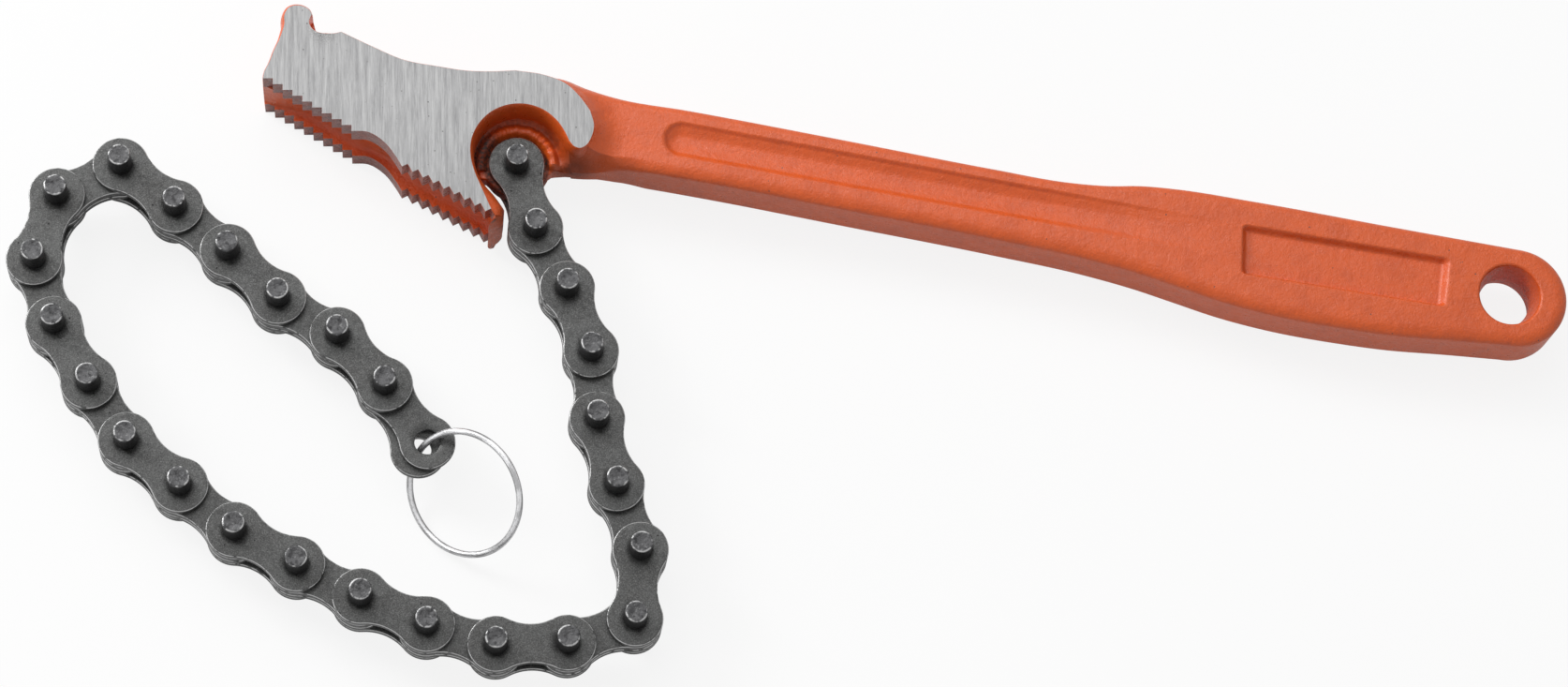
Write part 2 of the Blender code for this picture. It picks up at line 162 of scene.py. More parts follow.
class Finish:
    # a material and the short way of adding its nodes
    def __init__(self, name):
        self.material = bpy.data.materials.new(name)
        self.material.use_nodes = True
        self.tree = self.material.node_tree
        self.shader = self.tree.nodes["Principled BSDF"]
        self.place = self.add("ShaderNodeTexCoord").outputs["Object"]

    def add(self, kind, feeds=None, **settings):
        return addNode(self.tree, kind, feeds, **settings)

    def noise(self, scale, detail=3.0, roughness=0.5, stretch=None, turn=0.0):
        # noise over the object, whose places are turned and then stretched if a stretch is given
        place = self.place
        if stretch:
            turning = {"Vector": place, "Rotation": (0, 0, math.radians(turn))}
            place = self.add("ShaderNodeMapping", turning).outputs["Vector"]
            place = self.add("ShaderNodeMapping", {"Vector": place, "Scale": stretch}).outputs["Vector"]
        feeds = {"Vector": place, "Scale": scale, "Detail": detail, "Roughness": roughness}
        return self.add("ShaderNodeTexNoise", feeds).outputs["Fac"]

    def cells(self, scale):
        # distance to the nearest of scattered points
        return self.add("ShaderNodeTexVoronoi", {"Vector": self.place, "Scale": scale}).outputs["Distance"]

    def ramp(self, source, *stops):
        # two stops, each a place and a grey level or a colour
        node = self.add("ShaderNodeValToRGB", {"Fac": source})
        for element, (place, colour) in zip(node.color_ramp.elements, stops):
            element.position = place
            element.color = (*colour, 1) if isinstance(colour, tuple) else (colour, colour, colour, 1)
        return node.outputs["Color"]

    def patches(self, scale, detail, roughness, *stops):
        return self.ramp(self.noise(scale, detail, roughness), *stops)

    def mix(self, share, first, second):
        return self.add("ShaderNodeMix", {0: share, 6: first, 7: second}, data_type="RGBA").outputs[2]

    def maths(self, operation, first, second):
        return self.add("ShaderNodeMath", {0: first, 1: second}, operation=operation).outputs[0]

    def mark(self, name):
        return self.add("ShaderNodeAttribute", attribute_name=name).outputs["Fac"]

    def near(self, plan, inner, outer):
        # 1 within the inner distance of a plan point, 0 past the outer, in millimetres
        gap = self.add("ShaderNodeVectorMath", {0: self.place, 1: toFrame(plan)}, operation="DISTANCE")
        share = self.maths("MULTIPLY", gap.outputs["Value"], 1 / (outer * mm))
        return self.ramp(share, (inner / outer, 1.0), (1.0, 0.0))

    def rubbed(self, scale, low, high, start):
        # 1 where an edge is rubbed bright: the mesh's wear mark, broken up by a noise
        broken = self.maths("MULTIPLY", self.mark("wear"), self.ramp(self.noise(scale, 3), low, high))
        return self.ramp(broken, (start, 0.0), (0.8, 1.0))

    def gloss(self, scale, detail, low, high):
        # roughness that wanders between two levels
        return self.ramp(self.noise(scale, detail), (0.3, low), (0.7, high))

    def bump(self, height, distance, strength, under=None):
        feeds = {"Height": height, "Distance": distance, "Strength": strength}
        if under:
            feeds["Normal"] = under
        return self.add("ShaderNodeBump", feeds).outputs["Normal"]

    def done(self, look, colour, rough=None, relief=None):
        # a bump is a noise's scale, detail and roughness, a depth in metres and a strength, the undermost first
        for scale, detail, roughness, distance, strength in look.get("bumps", []):
            relief = self.bump(self.noise(scale, detail, roughness), distance, strength, relief)
        rough = rough or self.gloss(*look["gloss"])
        feeds = {"Base Color": colour, "Roughness": rough, "Normal": relief, **look["shader"]}
        for key, value in feeds.items():
            feed(self.tree, self.shader.inputs[key], value)
        return self.material


def orangePaint():
    # orange enamel on a cast skin, chipped, bare at two spots, darkened in the pocket (partly real soot, partly
    # painted shade in the crevice and round the pin) and under the tail (painted shadow)
    look = {
        "colour": (0.7, 0.102, 0.012), "deep": (0.62, 0.086, 0.009), "chip": (0.09, 0.035, 0.025),
        "sootAndShade": (0.04, 0.017, 0.013), "sootAndShadeRough": (0.75, 0.75, 0.75), "bare": (0.05, 0.045, 0.035),
        # plan place and height, where the spot is full and where it ends
        "bareSpots": [((7.6, 19.9, 18.2), 1.0, 1.9), ((-1.9, -16.6, 20.0), 0.5, 1.2)],
        # painted shadow under the tail's tip: plan place and height, where it is full and where it ends, and its share
        "tailShadow": ((13.0, 2.0, 13.5), 1.5, 6.5), "tailShadowShare": 0.7,
        "gloss": (600, 3, 0.26, 0.42), "shader": {"Coat Weight": 0.06, "Coat Roughness": 0.12},
        "bumps": [(420, 3, 0.6, 0.0005, 0.4), (1100, 2, 0.6, 0.00025, 0.38), (2600, 3, 0.65, 0.00012, 0.9)],
    }
    finish = Finish("orangePaint")
    colour = finish.patches(180, 4, 0.6, (0.35, look["deep"]), (0.55, look["colour"]))
    colour = finish.mix(finish.patches(2400, 3, 0.6, (0.36, 0.0), (0.66, 0.32)), colour, look["deep"])
    chips = finish.ramp(finish.cells(240), (0.03, 1.0), (0.05, 0.0))
    colour = finish.mix(chips, colour, look["chip"])
    for spot in look["bareSpots"]:
        ragged = finish.patches(1400, 3, 0.5, (0.3, 0.7), (0.5, 1.0))
        colour = finish.mix(finish.maths("MULTIPLY", finish.near(*spot), ragged), colour, look["bare"])
    # the web's mark darkens the pocket: painted shade in the crevice and in the gap round the pin's collar, partly
    # real soot; rougher there too
    cloudy = finish.patches(1300, 4, 0.6, (0.35, 0.6), (0.6, 1.0))
    sootAndShade = finish.maths("MULTIPLY", finish.mark("sootAndShade"), cloudy)
    # painted shadow that the tail's tip casts on the neck, full near a point and fading outwards
    tailShadow = finish.maths("MULTIPLY", finish.near(*look["tailShadow"]), look["tailShadowShare"])
    sootAndShade = finish.maths("MAXIMUM", sootAndShade, tailShadow)
    colour = finish.mix(sootAndShade, colour, look["sootAndShade"])
    rough = finish.mix(sootAndShade, finish.gloss(*look["gloss"]), look["sootAndShadeRough"])
    return finish.done(look, colour, rough)


def groundSteel():
    # ground face: fine and broad lines across it, small dark specks, and a run of pits along the notch
    look = {
        "light": (0.31, 0.31, 0.31), "dark": (0.14, 0.14, 0.142), "speck": (0.04, 0.038, 0.035),
        "turn": -11, "fine": (3600, 160, 160), "fineShare": 0.72, "broad": (1000, 50, 50), "broadShare": 0.28,
        "pits": ((-48.6, 20.8, 22), 0.6, 3.8), "lineDepth": 0.00004, "shader": {"Metallic": 0.85},
    }
    finish = Finish("groundSteel")
    fine = finish.noise(1.0, 4, 0.75, look["fine"], look["turn"])
    broad = finish.noise(1.0, 3, 0.6, look["broad"], look["turn"])
    lines = finish.maths("ADD", finish.maths("MULTIPLY", fine, look["fineShare"]),
                         finish.maths("MULTIPLY", broad, look["broadShare"]))
    colour = finish.ramp(lines, (0.36, look["dark"]), (0.64, look["light"]))
    specks = finish.ramp(finish.cells(480), (0.05, 1.0), (0.1, 0.0))
    specks = finish.maths("MULTIPLY", specks, finish.patches(150, 2, 0.5, (0.42, 0.25), (0.6, 1.0)))
    pitted = finish.patches(3400, 3, 0.6, (0.46, 0.0), (0.58, 0.9))
    pits = finish.maths("MULTIPLY", finish.near(*look["pits"]), pitted)
    colour = finish.mix(finish.maths("MAXIMUM", specks, pits), colour, look["speck"])
    rough, relief = finish.ramp(fine, (0.3, 0.34), (0.7, 0.52)), finish.bump(fine, look["lineDepth"], 0.6)
    return finish.done(look, colour, rough, relief)


def toothPaint():
    # thin paint on the milled flanks: mauve where it is thinnest, orange where it gathers
    look = {
        "thin": (0.15, 0.045, 0.04), "thick": (0.4, 0.065, 0.018), "pale": (0.34, 0.15, 0.13),
        "gloss": (900, 2, 0.2, 0.45), "bumps": [(1400, 3, 0.5, 0.00015, 0.6)], "shader": {},
    }
    finish = Finish("toothPaint")
    gathered = finish.patches(700, 4, 0.5, (0.35, 0.0), (0.6, 0.5))
    share = finish.maths("MAXIMUM", gathered, finish.maths("SUBTRACT", 1.0, finish.mark("thin")))
    colour = finish.mix(share, look["thin"], look["thick"])
    pale = finish.patches(1700, 3, 0.5, (0.54, 0.0), (0.7, 0.7))
    return finish.done(look, finish.mix(pale, colour, look["pale"]))


def oxideSteel():
    # blackened plates: a pale dust of grain, small pits, and edges rubbed bright
    look = {
        "grey": (0.058, 0.059, 0.058), "dark": (0.046, 0.046, 0.045), "pale": (0.18, 0.18, 0.178),
        "pit": (0.008, 0.008, 0.008), "worn": (0.42, 0.42, 0.42), "shader": {"Metallic": 0.7},
        "gloss": (900, 3, 0.36, 0.56), "bumps": [(3000, 2, 0.6, 0.00006, 0.5), (350, 2, 0.5, 0.0002, 0.2)],
    }
    finish = Finish("oxideSteel")
    colour = finish.patches(150, 3, 0.5, (0.36, look["dark"]), (0.62, look["grey"]))
    colour = finish.mix(finish.patches(3800, 2, 0.6, (0.45, 0.0), (0.75, 0.6)), colour, look["pale"])
    colour = finish.mix(finish.patches(3100, 2, 0.5, (0.3, 0.6), (0.42, 0.0)), colour, look["pit"])
    colour = finish.mix(finish.ramp(finish.cells(260), (0.045, 1.0), (0.065, 0.0)), colour, look["pit"])
    worn = finish.rubbed(700, (0.3, 0.35), (0.5, 1.0), 0.45)
    return finish.done(look, finish.mix(worn, colour, look["worn"]))


def pinSteel():
    # dark pins whose cracked ends are a little paler, with a rubbed rim
    look = {
        "side": (0.022, 0.022, 0.023), "end": (0.068, 0.068, 0.07), "crack": (0.025, 0.025, 0.026),
        "worn": (0.34, 0.34, 0.34), "shader": {"Metallic": 0.75},
        "gloss": (1200, 3, 0.28, 0.5), "bumps": [(900, 3, 0.6, 0.0003, 0.6)],
    }
    finish = Finish("pinSteel")
    end = finish.patches(700, 4, 0.65, (0.36, look["crack"]), (0.52, look["end"]))
    end = finish.mix(finish.patches(1500, 3, 0.6, (0.58, 0.0), (0.78, 0.35)), end, look["worn"])
    colour = finish.mix(finish.mark("end"), look["side"], end)
    worn = finish.rubbed(800, (0.38, 0.2), (0.6, 1.0), 0.35)
    return finish.done(look, finish.mix(worn, colour, look["worn"]))


def zincWire():
    # bright plating with dark streaks that follow the wire's own map: painted reflections along the ring and round the
    # wire
    look = {
        "bright": (0.68, 0.68, 0.69), "reflectionStreak": (0.4, 0.4, 0.405), "shader": {"Metallic": 1.0},
        "gloss": (1500, 2, 0.34, 0.5), "bumps": [(1800, 3, 0.5, 0.00006, 0.6)],
    }
    finish = Finish("zincWire")
    wireMap = finish.add("ShaderNodeUVMap", uv_map="wire").outputs["UV"]
    feeds = {"Vector": wireMap, "Scale": 1.0, "Detail": 3.0}
    # painted reflections: dark streaks laid along the ring and round the wire by a noise on the wire's map
    along = finish.add("ShaderNodeTexNoise", feeds, noise_dimensions="2D").outputs["Fac"]
    colour = finish.ramp(along, (0.4, look["reflectionStreak"]), (0.54, look["bright"]))
    colour = finish.mix(finish.patches(1800, 3, 0.5, (0.5, 0.0), (0.75, 0.6)), colour, look["reflectionStreak"])
    return finish.done(look, colour)


paint, steel, tooth = orangePaint(), groundSteel(), toothPaint()
oxide, pinFinish, zinc = oxideSteel(), pinSteel(), zincWire()
print("finishes ready")


# Head

headPlan = {
    "jaw": ["rowOne", "relief", "rowTwo"],
    # a row's start and end, and the share of the pitch at which its roots lie
    "rowOne": ((-59.8, 6.7), (-37.8, -1.9), 0.71),
    "rowTwo": ((-25.0, -8.1), (-2.1, -15.9), 0.3),
    "teeth": 9, "toothDepth": 1.2,
    "relief": [(-37.8, -1.9), (-34.2, -1.4), (-30.0, -3.1), (-27.0, -5.8), (-25.0, -8.1)],
    "lowTip": [(-2.1, -15.9), (-3.5, -13.9), (-7.1, -8.5)],
    "pocket": [(-7.1, -8.5), (-8.8, -5.8), (-10.2, -2.6), (-10.8, 1.2), (-9.9, 5.3), (-7.6, 8.8), (-4.3, 11.1),
               (-0.2, 12.1), (3.6, 11.6), (7.4, 9.5), (9.6, 7.2), (10.9, 5.3)],
    "tailTip": [(10.9, 5.3), (12.2, 4.2), (13.7, 4.0), (15.0, 5.0), (15.75, 6.9), (15.9, 10.0), (14.4, 13.4)],
    "tail": [(14.4, 13.4), (11.5, 16.3), (7.8, 18.8), (2.6, 19.9), (-4.1, 19.7)],
    "back": [(-4.1, 19.7), (-9.5, 18.4), (-15.1, 17.5), (-21.2, 17.3), (-29.8, 17.4), (-36.8, 19.1), (-44.6, 21.3)],
    "notch": [(-44.6, 21.3), (-46.2, 20.6), (-47.8, 20.3), (-49.8, 20.2), (-51.6, 21.2), (-52.2, 22.3), (-51.9, 24.2)],
    "nub": [(-51.9, 24.2), (-52.4, 24.9), (-55.3, 25.8), (-57.4, 24.9), (-58.1, 22.8), (-57.7, 20.7),
            (-57.8, 18.7), (-58.1, 16.6)],
    "jawEnd": [(-58.1, 16.6), (-58.7, 14.1), (-59.2, 11.0), (-59.9, 7.7), (-59.8, 6.7)],
    # the stretches in order, each with the step between its points; the rows of teeth need none
    "steps": {"rowOne": None, "relief": 0.6, "rowTwo": None, "lowTip": 0.5, "pocket": 0.45, "tailTip": 0.4,
              "tail": 0.7, "back": 1.0, "notch": 0.45, "nub": 0.4, "jawEnd": 0.6},
    # how far the painted flank stands outside the ground face at mid height
    "swell": {"lowTip": (3.4, 2.9, 1.7), "pocket": (0.9,), "tailTip": (0.6,), "tail": (0.2,), "back": (0.4,),
              "notch": (0.1, 0.0, 0.0), "nub": (0.1, 1.0, 1.1, 0.85, 0.85, 0.7), "jawEnd": (0.6, 0.3)},
    # how far the ground face's rim lies inside the outline, and the tail's tip stands back underneath
    "edgeInset": 0.07, "tipBack": 0.9,
    # how thin the paint is on the teeth's flanks
    "thin": {"rowOne": 1.0, "relief": 0.75, "rowTwo": 0.35},
    # place along the jaw and height inside the crest line: the groove's floor, and the second row's crests
    "grooveFloor": [(-1.0, 0.5), (0.0, 0.7), (3.6, 2.1), (9.6, 4.2), (23.6, 4.2), (31.0, 4.9), (37.8, 4.2),
                    (57.0, 4.2), (61.0, 2.3), (64.0, 0.6)],
    "secondCrest": [(37.8, -1.08), (62.0, 0.0)],
    "forkFloor": [(-59.0, 12.0), (-53.8, 14.2), (-47.8, 16.0), (-41.9, 17.8), (-36.8, 19.0)],
    "forkCorner": (-36.8, 12.0),
    # height, share of the swell (below 0: the rim's inset), share of the slot's depth
    "levels": [
        (22.0, -0.1, 0), (21.93, 0, 0), (21.5, 0.32, 0), (20.8, 0.58, 0), (19.8, 0.8, 0), (18.6, 0.94, 0),
        (17.4, 1, 0), (16.7, 1, 0), (16.55, 1, 0), (16.5, 1, 0.42), (16.2, 1, 0.66), (15.5, 1, 0.84),
        (14.6, 1, 0.95), (13.0, 1, 1), (11.0, 1, 1),
    ],
    "flangeRows": 8,  # bands of faces from the ground face down to the slot
}


def toothLine(start, end, rootShare):
    # crest, root, crest: the root lies a share along each pitch and the tooth's depth inside
    start, end = np.array(start), np.array(end)
    step = (end - start) / headPlan["teeth"]
    inward = np.array([-step[1], step[0]]) / np.hypot(*step) * headPlan["toothDepth"]
    crests = start + step * np.arange(headPlan["teeth"] + 1)[:, None]
    roots = crests[:-1] + step * rootShare + inward
    line = np.empty((2 * headPlan["teeth"] + 1, 2))
    line[0::2], line[1::2] = crests, roots
    return straightLine(line, 3)


def headOutline():
    # the ground face's edge, anticlockwise from the far corner of the teeth, with each stretch's name
    steps = headPlan["steps"]
    lines = [smoothLine(headPlan[name], step) if step else toothLine(*headPlan[name]) for name, step in steps.items()]
    return np.vstack(lines), np.repeat(list(steps), [len(line) for line in lines])


def outwards(points, reach):
    # unit normals of a closed outline, from the chord between points a reach away on either side
    chord = np.roll(points, -reach, axis=0) - np.roll(points, reach, axis=0)
    normal = np.column_stack([chord[:, 1], -chord[:, 0]])
    return normal / np.linalg.norm(normal, axis=1)[:, None]


def blurRound(values, reach):
    # running mean along a closed outline
    kernel = np.ones(2 * reach + 1) / (2 * reach + 1)
    return np.convolve(np.concatenate([values[-reach:], values, values[:reach]]), kernel, "valid")


def slotRails(outline, names):
    # for each outline point, the crest line without its teeth and the slot's inner wall, which is the groove's
    # floor at the jaw, the fork's at the hook and the outline elsewhere
    corner, lowEnd = np.array(headPlan["rowOne"][0]), np.array(headPlan["rowTwo"][1])
    along = (lowEnd - corner) / np.linalg.norm(lowEnd - corner)
    inward = np.array([-along[1], along[0]])
    place, height = (outline - corner) @ along, (outline - corner) @ inward
    floor = np.interp(place, *np.array(headPlan["grooveFloor"]).T)
    vectors = np.where(np.isin(names, headPlan["jaw"]), floor - height, 0)[:, None] * inward
    crest = np.where(names == "rowTwo", np.interp(place, *np.array(headPlan["secondCrest"]).T), 0)
    toothed = np.isin(names, ["rowOne", "rowTwo"])
    smooth = outline + np.where(toothed, crest - height, 0)[:, None] * inward

    cornerX, cornerY = headPlan["forkCorner"]
    atHook = np.isin(names, ["back", "notch", "nub", "jawEnd"])
    hook = np.flatnonzero(atHook & (outline[:, 0] < cornerX) & (outline[:, 1] > cornerY))
    run = runAlong(outline[hook])
    fork = np.array(headPlan["forkFloor"])[::-1]
    forkRun = runAlong(fork)
    share = run / run[-1] * forkRun[-1]
    floorPoint = np.column_stack([np.interp(share, forkRun, fork[:, 0]), np.interp(share, forkRun, fork[:, 1])])
    vectors[hook] = floorPoint - outline[hook]
    return smooth, outline + vectors


def buildHead():
    # loft, mirrored at mid height: the outline plus its outward normal times the swell's share, and inside the
    # slot the crest line plus a share of the way from there to the inner wall
    levels = headPlan["levels"]
    levels = np.array(levels + [(2 * middle - z, swell, slot) for z, swell, slot in levels[-2::-1]])
    outline, names = headOutline()
    jaw = np.isin(names, headPlan["jaw"])
    normal = outwards(outline, 2)
    swell = np.zeros(len(outline))
    for name, values in headPlan["swell"].items():
        share = np.linspace(0, 1, (names == name).sum())
        swell[names == name] = np.interp(share, np.linspace(0, 1, len(values)), values)
    swell = blurRound(swell, 4) * ~jaw
    crest, inner = slotRails(outline, names)
    tip = headPlan["tipBack"] * blurRound((names == "tailTip").astype(float), 6)
    rows = []
    for z, share, depth in levels:
        out = (share * swell if share >= 0 else -headPlan["edgeInset"]) - tip * ease(middle - z, 0, 6)
        xy = (crest + (inner - crest) * depth if depth else outline) + normal * out[:, None]
        rows.append(np.column_stack([xy, np.full(len(xy), z)]))
    points = np.vstack(rows)
    count = len(outline)
    faces = gridFaces(len(levels), count, closeColumns=True).tolist()
    faces += [list(range(count)), list(range(len(points) - 1, len(points) - 1 - count, -1))]
    # steel on the two ground faces, thin paint on the jaw's flanges, paint on the rest
    row = np.arange(len(levels) - 1)[:, None]
    flange = np.minimum(row, row[::-1]) < headPlan["flangeRows"]
    slots = np.append(np.where(flange & jaw, 2, 1).ravel(), [0, 0]).astype(np.int32)
    thin = sum(value * (names == name) for name, value in headPlan["thin"].items())
    marks = {"thin": np.tile(thin, len(levels))}
    return addMesh("forgedHead", toFrame(points), faces, [steel, paint, tooth], slots, 32, marks)


# Handle

handlePlan = {
    # the two sides of the plan
    "low": [(11.6, 0.9), (14.7, 1.2), (19.3, 2.1), (24.6, 2.9), (29.4, 3.0), (45.0, 3.1), (76.0, 2.7), (110.8, 2.2),
            (133.0, 1.4), (145.0, 0.2), (154.0, -1.2), (165.0, -2.9), (178.0, -3.9), (192.0, -3.9), (205.0, -3.3),
            (218.0, -1.9), (231.3, -0.6)],
    "high": [(0.0, 20.2), (6.5, 21.2), (12.1, 20.3), (20.1, 19.4), (36.0, 19.6), (72.2, 19.4), (108.1, 19.0),
             (125.0, 19.1), (134.0, 20.0), (142.0, 21.5), (150.4, 22.3), (167.7, 22.7), (200.0, 22.7), (231.3, 22.8)],
    "neckStart": (12.6, 3.0),  # where the first station meets the low and the high side
    "neckEnd": 27.0,  # from here on stations are square to the handle, spaced so up to each place
    "spacing": [(44, 0.4), (122, 1.3), (164, 0.8), (170, 0.22), (212, 0.9), (217, 0.22), (231.3, 0.7)],
    "endCentre": (231.3, 11.1), "endRadius": 11.7, "endRound": 3.0,
    "face": 18.0,
    # along the handle: width of the near corner, height of its foot, how straight it runs from one to the other
    "nearEdge": [(11.0, 4.9, 13.2, 1.0), (14.5, 4.4, 13.0, 1.0), (18.5, 2.9, 13.2, 0.9), (22.5, 2.2, 14.8, 0.5),
                 (30.0, 2.8, 16.2, 0.0), (60.0, 3.2, 16.3, 0.0), (243.0, 3.2, 16.3, 0.0)],
    "farEdge": (2.2, 16.3),
    # an ease is a share of the depth and the distances inside the rim where it starts and ends
    "flute": {"start": 36.0, "centre": 11.95, "half": 4.4, "depth": 1.5, "fade": (112.0, 166.0),
              "farWall": [(0.42, 0, 1.1), (0.58, 0.3, 3.5)], "nearWall": [(0.6, 0, 1.7), (0.4, 0.3, 4.2)]},
    "panel": {"corners": [(167.3, 4.3), (215.3, 5.3), (215.0, 17.4), (165.9, 16.5)],
              "runs": (0.9, 2.0, 1.5, 1.5), "depth": 1.6},
    "tailRamp": {"rise": 3.8, "run": 9.5, "power": 3.2, "reach": 40},
}


def handleFace(x, y, tailLine, tailOut):
    # height of the upper face: flat, less the flute and the panel, plus the fillet that climbs to the tail
    flute, panel, ramp = handlePlan["flute"], handlePlan["panel"], handlePlan["tailRamp"]
    offset = y - flute["centre"]
    beyond = np.minimum(x - flute["start"], 0)
    inside = flute["half"] - np.hypot(beyond, offset)
    farWall = sum(share * ease(inside, low, high) for share, low, high in flute["farWall"])
    nearWall = sum(share * ease(inside, low, high) for share, low, high in flute["nearWall"])
    side = ease(offset, -1.0, 1.0)
    depth = flute["depth"] * (side * farWall + (1 - side) * nearWall) * (1 - ease(x, *flute["fade"]))
    height = handlePlan["face"] - depth

    # the panel's depth eases in by the distance to its four edges, each over its own run
    corners = np.array(panel["corners"])
    short = np.zeros_like(x)
    for k, run in enumerate(panel["runs"]):
        start, end = corners[k], corners[(k + 1) % 4]
        edge = (end - start) / np.linalg.norm(end - start)
        short += np.clip(1 - ((y - start[1]) * edge[0] - (x - start[0]) * edge[1]) / run, 0, None) ** 2
    height = height - panel["depth"] * ease(1 - np.sqrt(short), 0, 1)

    # the fillet falls off with the distance to the nearest point of the tail's line
    close = x < ramp["reach"]
    place = np.column_stack([x[close], y[close]])
    gap = np.hypot(place[:, :1] - tailLine[:, 0], place[:, 1:] - tailLine[:, 1])
    nearest = gap.argmin(axis=1)
    out = ((place - tailLine[nearest]) * tailOut[nearest]).sum(axis=1)
    away = np.where(out > 0, gap[np.arange(len(nearest)), nearest], 0)
    lift = ramp["rise"] * np.clip(1 - away / ramp["run"], 0, 1) ** ramp["power"]
    lift = np.where(out > 0, lift, np.clip(ramp["rise"] + 2.0 * out, 0, None))
    height[close] += lift
    return height


def buildHandle(tailLine, tailOut):
    # loft of stations, each running from the near flank over the face to the far flank and back under
    neckEnd = handlePlan["neckEnd"]
    centre, radius = np.array(handlePlan["endCentre"]), handlePlan["endRadius"]
    lowLine, highLine = smoothLine(handlePlan["low"], 0.25), smoothLine(handlePlan["high"], 0.25)

    # the neck's stations fan out from a chord inside the tail, and those of the end gather at its tip
    share = np.linspace(0, 1, 44)
    lowX, highX = (start + (neckEnd - start) * share for start in handlePlan["neckStart"])
    spacing = handlePlan["spacing"]
    starts = [neckEnd + spacing[0][1]] + [end for end, step in spacing]
    body = np.concatenate([np.arange(start, end, step) for start, (end, step) in zip(starts, spacing)])
    turn = np.linspace(0, np.pi / 2, 46)
    endX = centre[0] + radius * np.sin(turn)
    lowX = np.concatenate([lowX, body, endX])
    highX = np.concatenate([highX, body, endX])
    lowY = np.interp(lowX, lowLine[:, 0], lowLine[:, 1])
    highY = np.interp(highX, highLine[:, 0], highLine[:, 1])
    tip = slice(len(share) + len(body), None)
    lowY[tip], highY[tip] = centre[1] - radius * np.cos(turn), centre[1] + radius * np.cos(turn)

    edgeX, *edge = np.array(handlePlan["nearEdge"]).T
    edgeRun, edgeFoot, straight = (np.interp(lowX, edgeX, values) for values in edge)
    farRun, farFoot = handlePlan["farEdge"]
    chord = np.hypot(highX - lowX, highY - lowY)
    edgeRun = np.minimum(edgeRun, 0.3 * chord)
    farRun = np.minimum(farRun, 0.3 * chord)

    t = np.linspace(0, 1, 12)
    convexRun, convexRise = 1 - np.cos(np.pi * t / 2), np.sin(np.pi * t / 2)
    k = straight[:, None]
    nearRun = edgeRun[:, None] * ((1 - k) * convexRun + k * t)
    nearRise = (1 - k) * convexRise + k * (0.7 * t + 0.3 * t**2)
    farOff = farRun[:, None] * convexRun[::-1]

    # columns across the face gather at two rails: the flute's walls, and further on the panel's
    flute = handlePlan["flute"]
    toPanel = ease(lowX, 138, 165)
    corner = np.array(handlePlan["panel"]["corners"])
    panelLow = np.interp(lowX, corner[:2, 0], corner[:2, 1])
    panelHigh = np.interp(lowX, corner[[3, 2], 0], corner[[3, 2], 1])
    lowRail = (1 - toPanel) * (flute["centre"] - flute["half"]) + toPanel * panelLow
    highRail = (1 - toPanel) * (flute["centre"] + flute["half"]) + toPanel * panelHigh
    tiny = 1e-9  # keeps the shares finite at the tip, where the chord is nothing
    lowShare = np.clip((lowRail - lowY) / (highY - lowY + tiny), 0.12, 0.45)
    highShare = np.clip((highRail - lowY) / (highY - lowY + tiny), 0.55, 0.88)
    pastPanel, atTip = lowX > 222, chord < 0.01
    lowShare, highShare = np.where(pastPanel, 0.28, lowShare), np.where(pastPanel, 0.72, highShare)
    startShare = np.where(atTip, 0.3, edgeRun / (chord + tiny))
    endShare = np.where(atTip, 0.7, 1 - farRun / (chord + tiny))
    lowShare, highShare = np.maximum(lowShare, startShare + 0.02), np.minimum(highShare, endShare - 0.02)
    even, steps = np.linspace(0, 1, 45), np.linspace(0, 1, 9)[1:-1]
    wave = 0.6 * (1 - np.cos(np.pi * even)) / 2 + 0.4 * even
    rails = [startShare, lowShare, highShare, endShare]
    runs = zip(rails, rails[1:], (steps, wave, steps))
    faceShare = np.hstack([start[:, None] + (end - start)[:, None] * part for start, end, part in runs])
    span = chord[:, None] + tiny
    across = np.clip(np.hstack([nearRun / span, faceShare, 1 - farOff / span]), 0, 1)
    x = lowX[:, None] + (highX - lowX)[:, None] * across
    y = lowY[:, None] + (highY - lowY)[:, None] * across
    face = handleFace(x, y, tailLine, tailOut)

    # the near side climbs from its foot to the face, the far side falls again, and so does the rim of the end
    z = face.copy()
    columns = len(t)
    z[:, :columns] = edgeFoot[:, None] + (face[:, :columns] - edgeFoot[:, None]) * nearRise
    z[:, -columns:] = farFoot + (face[:, -columns:] - farFoot) * convexRise[::-1]
    rim = np.clip((radius - np.hypot(x - centre[0], y - centre[1])) / handlePlan["endRound"], 0, 1)
    roundZ = farFoot + (face - farFoot) * np.sqrt(1 - (1 - rim) ** 2)
    z = np.where((lowX > centre[0])[:, None], np.minimum(face, roundZ), z)

    # flanks hang from both corners' feet down to mid height, and the underside mirrors the rest
    points = np.stack([x, y, z], axis=-1)
    keel = points * (1, 1, 0) + (0, 0, middle)
    flank = np.array([0.0, 0.35, 0.7, 0.93])[:, None]
    near = keel[:, :1] + (points - keel)[:, :1] * flank
    far = keel[:, -1:] + (points - keel)[:, -1:] * flank[::-1]
    points = np.hstack([near, points, far])
    points = np.hstack([points, points[:, -2:0:-1] * (1, 1, -1) + (0, 0, 2 * middle)])
    stations, count = points.shape[:2]
    faces = gridFaces(stations, count, closeColumns=True).tolist()
    faces += [list(range(count - 1, -1, -1)), list(range((stations - 1) * count, stations * count))]
    return points.reshape(-1, 3), faces


